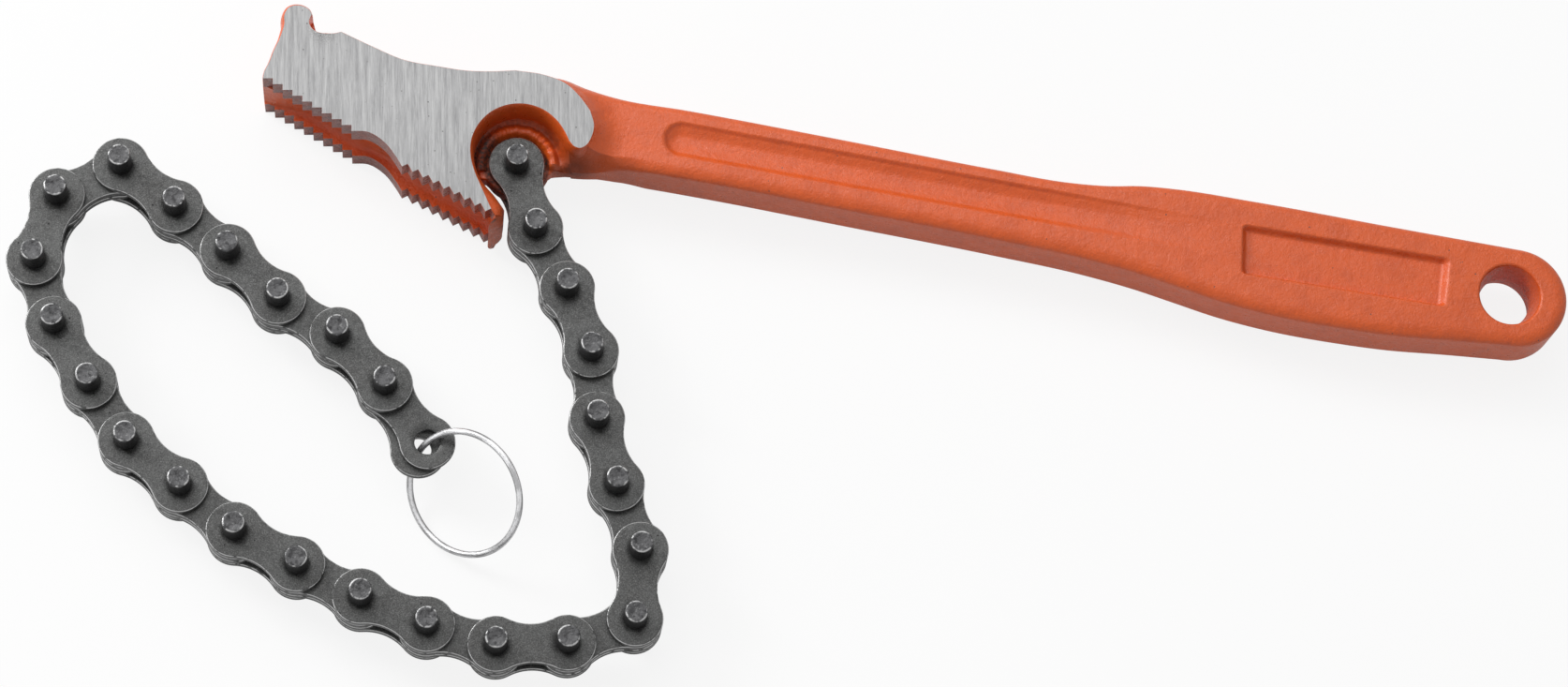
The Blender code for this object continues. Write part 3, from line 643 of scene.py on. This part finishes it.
def hangHole(points, faces):
    # the handle less a turned plug, by an exact boolean; the plug's side is a cone from the throat at mid height
    # to the shoulder, then a quarter ellipse out to the mouth
    size = {"place": (229.5, 11.2), "throat": 5.9, "shoulder": 7.0, "mouth": 0.7, "deep": 0.9, "sides": 96}
    body = addMesh("forgedHandle", points, faces, [paint])
    widest, top = size["shoulder"] + size["mouth"], 2 * middle
    bend = np.linspace(np.pi / 2, 0, 9)[:, None]
    centre = np.array([widest, handlePlan["face"] - size["deep"]])
    lip = centre + np.hstack([-size["mouth"] * np.cos(bend), size["deep"] * np.sin(bend)])
    upper = np.vstack([[(0, top), (widest, top)], lip])
    profile = np.vstack([upper, [(size["throat"], middle)], upper[::-1] * (1, -1) + (0, top)])
    plugPoints, plugFaces = turned(profile, size["sides"])
    plug = addMesh("holePlug", plugPoints + (*size["place"], 0), plugFaces, [paint])
    change = body.modifiers.new("hole", "BOOLEAN")
    change.operation, change.object, change.solver = "DIFFERENCE", plug, "EXACT"
    graph = bpy.context.evaluated_depsgraph_get()
    mesh = bpy.data.meshes.new_from_object(body.evaluated_get(graph))
    for old in (body, plug):
        bpy.data.objects.remove(old)
    place = np.empty(len(mesh.vertices) * 3, np.float32)
    mesh.vertices.foreach_get("co", place)
    mesh.vertices.foreach_set("co", toFrame(place.reshape(-1, 3)).astype(np.float32).ravel())
    return showMesh("forgedHandle", mesh)


# Web round the anchor pin

webPlan = {
    "hole": 2.6, "half": 2.2, "rim": 0.7,
    # start, end and step in degrees
    "turns": [(201, 240, 1.5), (240, 340, 4), (340, 357, 1), (357, 368, 0.4), (368, 561, 3)],
    "reach": [(201, 12.8), (208, 9.4), (216, 7.6), (224, 7.3), (344, 7.3), (355, 7.5), (361, 8.2), (363.8, 9.2),
              (364.4, 12.8), (561, 12.8)],
    "ridge": 1.7, "ridgeAt": (6.5, 8.0), "crevice": (8.6, 10.0), "dip": 1.2,
    # start, end and rise: of the fillet along the radius, and of the blend into the neck across the handle
    "fillet": (9.9, 12.0, 2.0), "neck": (1.0, 5.8, 0.98),
}


def buildWeb():
    # polar grid whose section goes from the hole over the top out to the rim, down and back under: half thickness,
    # plus a ridge, less a crevice, plus a fillet against the pocket's wall and a blend into the neck
    degrees = np.concatenate([np.arange(*turn) for turn in webPlan["turns"]])[:, None]
    angle = np.radians(degrees)
    reach = np.interp(degrees, *np.array(webPlan["reach"]).T)
    inner, rim = webPlan["hole"], webPlan["rim"]
    radius = inner + (reach - rim - inner) * np.linspace(0, 1, 56)
    wide = ease(reach, 7.5, 8.6)
    rough = 1 + 0.12 * np.sin(3.1 * degrees / 7 + 2 * np.sin(degrees / 11)) * wide
    # the ridge starts past the place that the first link's plates swing to
    ridge = webPlan["ridge"] * ease(degrees, 360, 373) * rough * ease(radius, *webPlan["ridgeAt"])
    top = webPlan["half"] + wide * (ridge - webPlan["dip"] * ease(radius, *webPlan["crevice"]))
    start, end, climb = webPlan["fillet"]
    top = top + climb * wide * ease(degrees, 376, 392) * np.clip((radius - start) / (end - start), 0, 1) ** 2
    start, end, slope = webPlan["neck"]
    rise = slope * (np.clip(radius * np.sin(angle), start, end) - start)
    top = top + rise * ease(degrees, 355, 366) * (1 - ease(degrees, 400, 430)) * ease(radius, 9.6, 12.4)
    bend = np.linspace(0, np.pi / 2, 6)[1:]
    radius = np.hstack([radius, reach - rim + rim * np.sin(bend)])
    top = np.hstack([top, top[:, -1:] - rim * (1 - np.cos(bend))])
    radius = np.hstack([radius, radius[:, ::-1]])
    height = np.hstack([middle + top, middle - top[:, ::-1]])
    points = np.stack([radius * np.cos(angle), radius * np.sin(angle), height], axis=-1).reshape(-1, 3)
    faces = gridFaces(*radius.shape, closeRows=True, closeColumns=True)[:, ::-1]

    # darkening round the pin's collar, in the crevice on the pocket's side and at the tail's end: painted shade in the
    # gap by the plates and in the crevice, partly real soot
    pocketSide = ease(degrees, 375, 400) + 1 - ease(degrees, 330, 350)
    lowSide = 0.6 * (1 - ease(degrees, 372, 398))
    collar = 1 - ease(radius - lowSide, 6.6, 7.2)
    crevice = 0.6 * ease(radius, 9.0, 10.0) * (1 - 0.75 * ease(radius, 10.4, 11.8)) * pocketSide
    sootAndShade = np.maximum(np.maximum(collar, crevice), ease(degrees, 478, 512)) * ease(radius, 5.5, 6.3)
    return addMesh("anchorWeb", toFrame(points), faces.tolist(), [paint], marks={"sootAndShade": sootAndShade.ravel()})


outline, outlineNames = headOutline()
normals = outwards(outline, 2)
isTail = np.isin(outlineNames, ["tailTip", "tail"])
head = buildHead()
handle = hangHole(*buildHandle(outline[isTail], normals[isTail]))
web = buildWeb()
for piece in (head, handle, web):
    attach(piece, "wrench")
    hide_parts("wrench_body")
print("head, handle and web built")


# Chain

chainPlan = {
    "links": 26, "pitch": 15.875, "endRadius": 6.3, "waist": 4.4, "thickness": 1.8, "round": 0.28,
    # undersides of the plates
    "outerLow": 6.8, "innerLow": 8.8, "innerHigh": 11.4, "outerHigh": 13.4, "lastHigh": 10.8,
    # radii of the holes; a pin fills the riveted one
    "pinHole": 2.57, "rivetHole": 2.3, "ringHole": 2.9, "splay": 4.25,
}
pinPlan = {
    "top": 21.8, "bottom": 0.2, "sides": 40,
    # radius and height above the pin's top, from the dished middle over the burr to the side
    "end": [(0, -0.2), (0.7, -0.18), (1.3, -0.1), (1.9, -0.02), (2.3, 0.0), (2.46, -0.07), (2.52, -0.25), (2.5, -0.6)],
}


def halfPlate(hole):
    # ring grid from a round hole out to half of a figure of eight, whose waist is an arc that meets the end's
    # circle smoothly; the mid line's side wall is left open
    half, radius, waist = chainPlan["pitch"] / 2, chainPlan["endRadius"], chainPlan["waist"]
    blend = (half**2 + waist**2 - radius**2) / (2 * (radius - waist))
    meet = math.atan2(waist + blend, half)
    bend = np.linspace(-math.pi / 2, -math.pi + meet, 9)
    neck = np.column_stack([half + blend * np.cos(bend), waist + blend + blend * np.sin(bend)])
    turn = np.linspace(meet, 2 * math.pi - meet, 45)[1:-1]
    end = radius * np.column_stack([np.cos(turn), np.sin(turn)])
    rim = np.vstack([neck, end, neck[::-1] * (1, -1)])
    even = np.linspace(-1, 1, 9)[1:-1]
    loop = np.vstack([rim, np.column_stack([half + 0 * even, waist * even])])
    free = len(rim)

    chord = np.gradient(rim, axis=0)
    out = np.column_stack([chord[:, 1], -chord[:, 0]])
    out /= np.linalg.norm(out, axis=1)[:, None]
    out[[0, -1]] = [(0, 1), (0, -1)]
    inset = np.vstack([out, np.column_stack([0 * even, even])])
    angle = np.arctan2(loop[:, 1], loop[:, 0])
    mouth = hole * np.column_stack([np.cos(angle), np.sin(angle)])

    # rows of a plan, a height and a wear, first the upper half: the hole's chamfer, the face, the rounded edge
    e, thick, chamfer = chainPlan["round"], chainPlan["thickness"], 0.1
    edge, lip = loop - inset * e, mouth * (1 + chamfer / hole)
    rows = [(mouth, thick - chamfer, 0.6), (lip, thick, 0.3)]
    rows += [(lip * (1 - share) + edge * share, thick, 0) for share in (0.35, 0.7, 0.9)]
    rows.append((edge, thick, 0.1))
    for a in np.radians([30, 60]):
        rows.append((loop - inset * e * (1 - np.sin(a)), thick - e * (1 - np.cos(a)), 1.0))
    rows.append((loop, thick - e, 0.0))
    count = len(rows)
    rows += [(plan, thick - z, worn) for plan, z, worn in rows[::-1]]
    points = np.array([np.column_stack([plan, np.full(len(plan), z)]) for plan, z, _ in rows])
    wear = [worn for _, _, worn in rows]
    faces = gridFaces(len(rows), len(loop), closeRows=True, closeColumns=True)
    # rows from the face's edge round to the other face's edge have no wall on the mid line
    row, column = faces.min(axis=1) // len(loop), faces % len(loop)
    wall = (row >= count - 4) & (row < count + 3)
    onMiddle = (column >= free - 1).sum(axis=1) + (column == 0).sum(axis=1) == 4
    keep = ~(wall & onMiddle)
    return points.reshape(-1, 3), faces[keep], np.repeat(wear, len(loop))


def plateShape(nearHole, farHole):
    # two half plates, the second turned end for end about the plate's mid point, with one point for each place
    near, nearFaces, nearWear = halfPlate(nearHole)
    far, farFaces, farWear = halfPlate(farHole)
    points = np.vstack([near, far * (-1, -1, 1) + (chainPlan["pitch"], 0, 0)])
    faces = np.vstack([nearFaces, farFaces + len(near)])
    _, first, where = np.unique(np.round(points, 4), axis=0, return_index=True, return_inverse=True)
    return points[first], where.ravel()[faces].tolist(), np.concatenate([nearWear, farWear])[first]


def pinShape():
    # turned pin, the same dished and burred end at the top and at the bottom
    end = np.array(pinPlan["end"])
    top = end + (0, pinPlan["top"])
    foot = (end * (1, -1) + (0, pinPlan["bottom"]))[::-1]
    points, faces = turned(np.vstack([top, foot]), pinPlan["sides"])
    deep = np.minimum(np.abs(points[:, 2] - pinPlan["top"]), np.abs(points[:, 2] - pinPlan["bottom"]))
    radius = np.hypot(points[:, 0], points[:, 1])
    wear = np.where((radius > 2.2) & (deep < 0.2), 1.0, 0.0)
    end = np.where(deep < 0.3, 1.0, 0.0)
    return points, faces, wear, end


def laid(points, pin, heading, height=0.0):
    # link millimetres to metres of the frame: turned to the heading, moved to the pin
    c, s = math.cos(heading), math.sin(heading)
    return points @ np.array([[c, s, 0], [-s, c, 0], [0, 0, 1]]) * mm + (pin[0], pin[1], height * mm)


def pinPlateShape():
    # an outer link's upper plate with a pin through each of its holes
    plate, plateFaces, plateWear = plateShape(chainPlan["rivetHole"], chainPlan["rivetHole"])
    pin, pinFaces, pinWear, pinEnd = pinShape()
    points = np.vstack([plate + (0, 0, chainPlan["outerHigh"]), pin, pin + (chainPlan["pitch"], 0, 0)])
    faces = list(plateFaces)
    for first in (len(plate), len(plate) + len(pin)):
        faces += [[i + first for i in face] for face in pinFaces]
    slots = np.repeat([0, 1], [len(plateFaces), 2 * len(pinFaces)]).astype(np.int32)
    marks = {
        "wear": np.concatenate([plateWear, pinWear, pinWear]),
        "end": np.concatenate([0 * plateWear, pinEnd, pinEnd]),
    }
    return points, faces, slots, marks


def buildChain():
    # each link runs from its pin to the next; odd links are outer, even ones inner, the last one fanned
    plan, links = chainPlan, chainPlan["links"]
    pins = [joints[f"pin_{k:02d}_hinge"]["pos_m"] for k in range(1, links + 1)] + [joints["ring_swing"]["pos_m"]]
    plain = plateShape(plan["pinHole"], plan["pinHole"])
    ringed = plateShape(plan["pinHole"], plan["ringHole"])
    pinned, pinnedFaces, slots, marks = pinPlateShape()
    for k in range(1, links + 1):
        here, there = pins[k - 1], pins[k]
        heading = math.atan2(there[1] - here[1], there[0] - here[0])
        body, name = f"link_{k:02d}", f"link{k:02d}"
        shape, splay = plain, 0.0
        heights = {"upper_plate": plan["innerHigh"], "lower_plate": plan["innerLow"]}
        if k == links:
            shape, splay, heights["upper_plate"] = ringed, math.radians(plan["splay"]), plan["lastHigh"]
        elif k % 2:
            heights = {"lower_plate": plan["outerLow"]}
            placed = laid(pinned, here, heading)
            piece = addMesh(name + "PinPlate", placed, pinnedFaces, [oxide, pinFinish], slots, 50, marks)
            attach(piece, body)
            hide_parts(f"{body}_pin_plate")
        points, faces, wear = shape
        for node, height in heights.items():
            part = node.title().replace("_", "")
            placed = laid(points, here, heading + (splay if part == "UpperPlate" else -splay), height)
            piece = addMesh(name + part, placed, faces, [oxide], None, 50, {"wear": wear})
            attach(piece, body)
            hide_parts(f"{body}_{node}")


buildChain()
print("chain built")


# Ring

ringPlan = {
    "radius": 14.2, "wire": 0.75, "around": 160, "across": 16,
    # from the threading point to the ring's centre, and square to the ring
    "along": (0.781, -0.6246, 0.0), "normal": (-0.425, -0.532, 0.7325),
    # scale of the painted reflection streaks on the wire
    "reflectionStreaks": (14, 5),  # lengths of the map round the ring and round the wire
}


def buildRing():
    # torus: a circle of wire carried round the ring's centre, which lies a radius from the threading point
    start = np.array(joints["ring_swing"]["pos_m"])
    along = np.array(ringPlan["along"])
    normal = np.array(ringPlan["normal"])
    along /= np.linalg.norm(along)
    normal -= along * (normal @ along)
    normal /= np.linalg.norm(normal)
    side = np.cross(normal, along)
    radius, wire, around, across = (ringPlan[key] for key in ("radius", "wire", "around", "across"))
    turn = np.linspace(0, 2 * np.pi, around, endpoint=False)[:, None, None]
    bend = np.linspace(0, 2 * np.pi, across, endpoint=False)[None, :, None]
    out = -np.cos(turn) * along - np.sin(turn) * side
    centre = start + along * radius * mm
    points = centre + (out * (radius + wire * np.cos(bend)) + normal * wire * np.sin(bend)) * mm
    faces = gridFaces(around, across, True, True)
    piece = addMesh("wireRing", points.reshape(-1, 3), faces.tolist(), [zinc], sharp=80)
    # the map runs round the ring and round the wire; a face across the seam takes the full turn in place of 0
    places = []
    for turns, steps, length in zip(divmod(faces, across), (around, across), ringPlan["reflectionStreaks"]):
        overSeam = (turns == 0) & (turns.max(axis=1) > steps // 2)[:, None]
        places.append(np.where(overSeam, steps, turns) / steps * length)
    layer = piece.data.uv_layers.new(name="wire")
    layer.data.foreach_set("uv", np.stack(places, axis=-1).astype(np.float32).ravel())
    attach(piece, "ring")
    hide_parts("end_ring")


buildRing()
print("ring built")


# Camera, floor and light

cameraPlan = {"place": (37.86, -336.6, 965.9), "look": (0.0950, 0.9955), "down": 72.10, "roll": 15.49, "lens": 101.38}
studioPlan = {
    "floor": (0.9, 0.9, 0.9), "floorSize": 6.0, "floorDrop": 0.0002, "world": 0.27,
    # shares of plain white that camera rays and mirrored rays see
    "floorWhite": (0.86, 0.25), "worldWhite": (1.0, 1.0),
    # place and size in metres, power in watts
    "lights": {
        "overhead": ((-0.42, 0.66, 1.25), (1.45, 1.15), 10.5),
        "left": ((-1.15, 0.5, 0.75), (0.45, 0.45), 12.0),
        "lowLeft": ((-1.15, -0.6, 0.4), (0.3, 0.5), 1.3),
    },
}


def addCamera():
    # looks along the plan direction, tipped down, and rolls so that the picture turns clockwise
    down, roll = math.radians(cameraPlan["down"]), math.radians(cameraPlan["roll"])
    look = np.array([*cameraPlan["look"], 0])
    look /= np.linalg.norm(look)
    ahead = look * math.cos(down) - np.array([0, 0, math.sin(down)])
    right = np.cross(look, (0, 0, 1))
    up = np.cross(right, ahead)
    across = math.cos(roll) * right + math.sin(roll) * up
    over = -math.sin(roll) * right + math.cos(roll) * up
    data = bpy.data.cameras.new("camera")
    data.lens, data.sensor_width = cameraPlan["lens"], 36
    data.clip_start, data.clip_end = 0.01, 20
    camera = addObject("camera", data)
    place = toFrame(cameraPlan["place"])
    camera.matrix_world = Matrix([(across[i], over[i], -ahead[i], place[i]) for i in range(3)] + [(0, 0, 0, 1)])
    bpy.context.scene.camera = camera


def whiteToCamera(tree, shader, share, mirrored):
    # camera rays see one share of plain white, mirrored rays another; the rest of the light sees the shader
    path = addNode(tree, "ShaderNodeLightPath")
    seen = 0.0
    for ray, part in (("Is Camera Ray", share), ("Is Glossy Ray", mirrored), ("Is Transmission Ray", share)):
        feeds = {0: path.outputs[ray], 1: part, 2: seen}
        seen = addNode(tree, "ShaderNodeMath", feeds, operation="MULTIPLY_ADD").outputs[0]
    white = addNode(tree, "ShaderNodeEmission", {"Strength": 1.0})
    return addNode(tree, "ShaderNodeMixShader", {0: seen, 1: shader, 2: white.outputs[0]}).outputs[0]


def addFloor():
    # one square face a hair under the object
    mesh = bpy.data.meshes.new("floor")
    reach = studioPlan["floorSize"] / 2
    corners = [(-reach, -reach, 0), (reach, -reach, 0), (reach, reach, 0), (-reach, reach, 0)]
    mesh.from_pydata(corners, [], [(0, 1, 2, 3)])
    material = bpy.data.materials.new("paleFloor")
    material.use_nodes = True
    tree = material.node_tree
    shader = tree.nodes["Principled BSDF"]
    feed(tree, shader.inputs["Base Color"], studioPlan["floor"])
    feed(tree, shader.inputs["Roughness"], 0.9)
    seen = whiteToCamera(tree, shader.outputs[0], *studioPlan["floorWhite"])
    feed(tree, tree.nodes["Material Output"].inputs["Surface"], seen)
    mesh.materials.append(material)
    floor = addObject("floor", mesh)
    floor.location.z = -studioPlan["floorDrop"]


def addLight(name, place, size, power):
    # rectangular lamp that faces the frame's origin
    data = bpy.data.lights.new(name, "AREA")
    data.shape, data.size, data.size_y = "RECTANGLE", size[0], size[1]
    data.energy = power
    light = addObject(name, data)
    light.location = place
    light.rotation_euler = (-Vector(place)).to_track_quat("-Z", "Y").to_euler()


def addWorld():
    # even white light from all round
    world = bpy.data.worlds.new("studio")
    bpy.context.scene.world = world
    world.use_nodes = True
    tree = world.node_tree
    background = tree.nodes["Background"]
    feed(tree, background.inputs["Color"], (1.0, 1.0, 1.0))
    feed(tree, background.inputs["Strength"], studioPlan["world"])
    seen = whiteToCamera(tree, background.outputs[0], *studioPlan["worldWhite"])
    feed(tree, tree.nodes["World Output"].inputs["Surface"], seen)


addCamera()
addFloor()
addWorld()
for name, light in studioPlan["lights"].items():
    addLight(name, *light)
bpy.context.scene.view_settings.view_transform = "Standard"
print("camera, floor and light ready")
